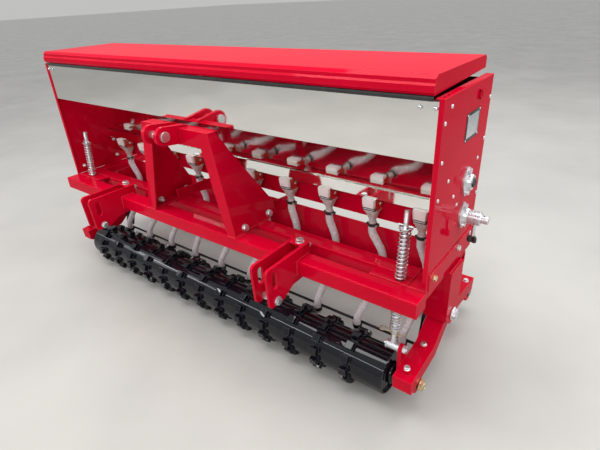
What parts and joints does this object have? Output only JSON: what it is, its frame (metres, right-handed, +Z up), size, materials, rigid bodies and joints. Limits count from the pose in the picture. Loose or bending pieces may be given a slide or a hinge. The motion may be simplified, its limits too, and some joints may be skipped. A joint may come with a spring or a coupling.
{
  "type": "seed drill",
  "caption": "Seed drill for a tractor three-point hitch: red frame and mast, steel hopper with hinged lid, seed meters and tubes, lugged front roller and packer roller on sprung arms.",
  "frame": {"origin": "Middle of the machine's box, on the ground", "axes": "+X across the machine to its right as seen from the front, +Y to its rear, +Z up"},
  "size_m": [1.704, 0.737, 0.88],
  "materials": {
    "red_paint": "gloss",
    "black_paint": "gloss",
    "polished_steel": "polished",
    "zinc": "satin",
    "white_plastic": "satin",
    "black_plastic": "satin",
    "clear_hose": "gloss"
  },
  "bodies": {
    "root": {"front_beam": "red_paint", "second_beam": "red_paint", "rear_beam": "red_paint", "side_member_left": "red_paint", "side_member_right": "red_paint", "corner_plates": "red_paint", "apron_sheet": "red_paint", "mast": "red_paint", "mast_braces": "red_paint", "top_link_pin": "zinc", "lower_bracket_left": "red_paint", "lower_bracket_right": "red_paint", "stop_pins": "zinc", "hopper_end_left": "red_paint", "hopper_end_right": "red_paint", "hopper_front": "polished_steel", "hopper_back": "polished_steel", "metering_rail": "polished_steel", "hinge_rod": "zinc", "seed_meters": "white_plastic", "metering_bearings": "zinc", "agitator_bearings": "zinc", "rate_adjuster": "zinc", "knob": "black_plastic", "seed_tubes": "clear_hose", "tube_guide": "red_paint", "pivot_post_left": "red_paint", "pivot_post_right": "red_paint", "pivot_pins": "zinc", "arm_left": "red_paint", "arm_right": "red_paint", "drop_bracket_left": "red_paint", "drop_bracket_right": "red_paint", "spring_rod_left": "zinc", "spring_rod_right": "zinc", "upper_springs": "zinc", "lower_springs": "zinc", "lower_drive_case": "red_paint", "upper_drive_case": "red_paint"},
    "front_roller": {"front_roller": "black_paint"},
    "rear_roller": {"rear_roller": "black_paint"},
    "metering_shaft": {"metering_shaft": "zinc"},
    "agitator": {"agitator": "zinc"},
    "lid": {"lid": "red_paint"}
  },
  "joints": [
    {"name": "front_roller_spin", "type": "hinge", "parent": "root", "child": "front_roller", "pos_m": [0, -0.1835, 0.082], "axis": [1, 0, 0], "continuous": true},
    {"name": "rear_roller_spin", "type": "hinge", "parent": "root", "child": "rear_roller", "pos_m": [0, 0.2685, 0.1], "axis": [1, 0, 0], "continuous": true},
    {"name": "metering_shaft_spin", "type": "hinge", "parent": "root", "child": "metering_shaft", "pos_m": [0, 0.0025, 0.511], "axis": [1, 0, 0], "continuous": true},
    {"name": "agitator_spin", "type": "hinge", "parent": "root", "child": "agitator", "pos_m": [0, -0.0025, 0.604], "axis": [1, 0, 0], "continuous": true},
    {"name": "lid_hinge", "type": "hinge", "parent": "root", "child": "lid", "pos_m": [0, 0.1025, 0.847], "axis": [-1, 0, 0], "range_deg": [0, 100]}
  ],
  "couplings": [
    {"joint": "metering_shaft_spin", "follows": "rear_roller_spin", "ratio": 0.5},
    {"joint": "agitator_spin", "follows": "rear_roller_spin", "ratio": 0.4}
  ]
}
